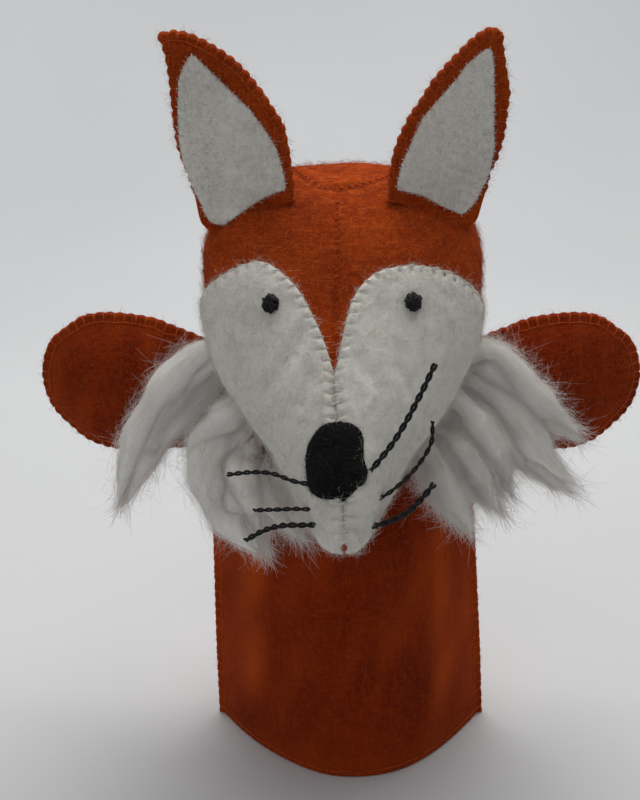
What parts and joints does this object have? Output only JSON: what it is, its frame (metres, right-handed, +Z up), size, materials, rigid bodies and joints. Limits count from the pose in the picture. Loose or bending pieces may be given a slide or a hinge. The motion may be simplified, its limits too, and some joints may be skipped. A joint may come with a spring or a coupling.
{
  "type": "hand puppet",
  "caption": "Felt fox glove puppet with pointed muzzle, upright ears, stubby arms and a wool mane, standing on its open hem.",
  "frame": {"origin": "on the table, under the middle of the whole toy's bounding box; the axis of the felt tube is 24.6 mm behind it", "axes": "+Z up, -Y is the way the face looks, +X is the puppet's own left"},
  "size_m": [0.2302, 0.1529, 0.2781],
  "materials": {
    "orange_felt": "dense wool felt, fuzzy, mottled fox orange",
    "white_felt": "off-white wool felt, fuzzy",
    "black_felt": "black wool felt",
    "wool_roving": "loose combed off-white wool",
    "orange_thread": "bright orange wool thread",
    "white_thread": "off-white cotton thread",
    "black_thread": "stiff twisted black thread",
    "wool_stuffing": "loose wool filling",
    "card": "rolled card"
  },
  "bodies": {
    "glove": {"glove_back": "orange_felt", "glove_front": "orange_felt", "hem_stitch_back": "orange_thread", "hem_stitch_front": "orange_thread", "mane_left_inner": "wool_roving", "mane_left_middle": "wool_roving", "mane_left_outer": "wool_roving", "mane_right_inner": "wool_roving", "mane_right_outer": "wool_roving", "side_stitch_left": "orange_thread", "side_stitch_right": "orange_thread"},
    "neck": {"neck_band": "orange_felt"},
    "neck_joint": {"neck_stitch_ring": "orange_thread"},
    "head": {"crown_seam_thread": "orange_thread", "eye_left": "black_thread", "eye_right": "black_thread", "finger_tube": "card", "forehead_seam_thread": "orange_thread", "head_back": "orange_felt", "head_side_left": "orange_felt", "head_side_right": "orange_felt", "head_stuffing": "wool_stuffing", "head_underside": "orange_felt", "muzzle_patch_left": "white_felt", "muzzle_patch_right": "white_felt", "muzzle_seam_thread": "white_thread", "nose": "black_felt", "whisker_left_lower": "black_thread", "whisker_left_middle": "black_thread", "whisker_left_upper": "black_thread", "whisker_right_lower": "black_thread", "whisker_right_middle": "black_thread", "whisker_right_upper": "black_thread"},
    "ear_left": {"ear_left_lining": "white_felt", "ear_left_outer": "orange_felt", "ear_left_stitch": "orange_thread"},
    "arm_left": {"arm_left_sleeve_back": "orange_felt", "arm_left_sleeve_front": "orange_felt", "arm_left_stitch_bottom": "orange_thread", "arm_left_stitch_top": "orange_thread"},
    "paw_left": {"arm_left_paw_back": "orange_felt", "arm_left_paw_front": "orange_felt", "arm_left_stitch_paw": "orange_thread"},
    "ear_right": {"ear_right_lining": "white_felt", "ear_right_outer": "orange_felt", "ear_right_stitch": "orange_thread"},
    "arm_right": {"arm_right_sleeve_back": "orange_felt", "arm_right_sleeve_front": "orange_felt", "arm_right_stitch_bottom": "orange_thread", "arm_right_stitch_top": "orange_thread"},
    "paw_right": {"arm_right_paw_back": "orange_felt", "arm_right_paw_front": "orange_felt", "arm_right_stitch_paw": "orange_thread"}
  },
  "joints": [
    {"name": "head_turn", "type": "hinge", "parent": "glove", "child": "neck", "pos_m": [0, 0.0246, 0.148], "axis": [0, 0, 1], "range_deg": [-25, 25], "stiffness_Nm_per_rad": 0.25, "deforming": ["mane_left_inner", "mane_left_middle", "mane_left_outer", "mane_right_inner", "mane_right_outer"]},
    {"name": "head_tilt", "type": "hinge", "parent": "neck", "child": "neck_joint", "pos_m": [0, 0.0246, 0.157], "axis": [0, 1, 0], "range_deg": [-5, 5], "stiffness_Nm_per_rad": 0.8},
    {"name": "head_nod", "type": "hinge", "parent": "neck_joint", "child": "head", "pos_m": [0, 0.0246, 0.157], "axis": [1, 0, 0], "range_deg": [-15, 6], "stiffness_Nm_per_rad": 0.9},
    {"name": "ear_left_flop", "type": "hinge", "parent": "head", "child": "ear_left", "pos_m": [0.0295, 0.0116, 0.2146], "axis": [0.9762, 0, -0.2169], "range_deg": [-20, 20], "stiffness_Nm_per_rad": 0.03},
    {"name": "ear_right_flop", "type": "hinge", "parent": "head", "child": "ear_right", "pos_m": [-0.0295, 0.0116, 0.2143], "axis": [0.9714, 0, 0.2375], "range_deg": [-20, 20], "stiffness_Nm_per_rad": 0.03},
    {"name": "arm_left_raise", "type": "hinge", "parent": "glove", "child": "arm_left", "pos_m": [0.06, 0.0246, 0.139], "axis": [0, -1, 0], "range_deg": [-30, 20], "stiffness_Nm_per_rad": 0.12},
    {"name": "arm_right_raise", "type": "hinge", "parent": "glove", "child": "arm_right", "pos_m": [-0.06, 0.0246, 0.139], "axis": [0, 1, 0], "range_deg": [-30, 20], "stiffness_Nm_per_rad": 0.12},
    {"name": "paw_left_curl", "type": "hinge", "parent": "arm_left", "child": "paw_left", "pos_m": [0.086, 0.0137, 0.143], "axis": [0, 0, -1], "range_deg": [0, 60], "stiffness_Nm_per_rad": 0.05},
    {"name": "paw_right_curl", "type": "hinge", "parent": "arm_right", "child": "paw_right", "pos_m": [-0.086, 0.0137, 0.143], "axis": [0, 0, 1], "range_deg": [0, 60], "stiffness_Nm_per_rad": 0.05}
  ]
}
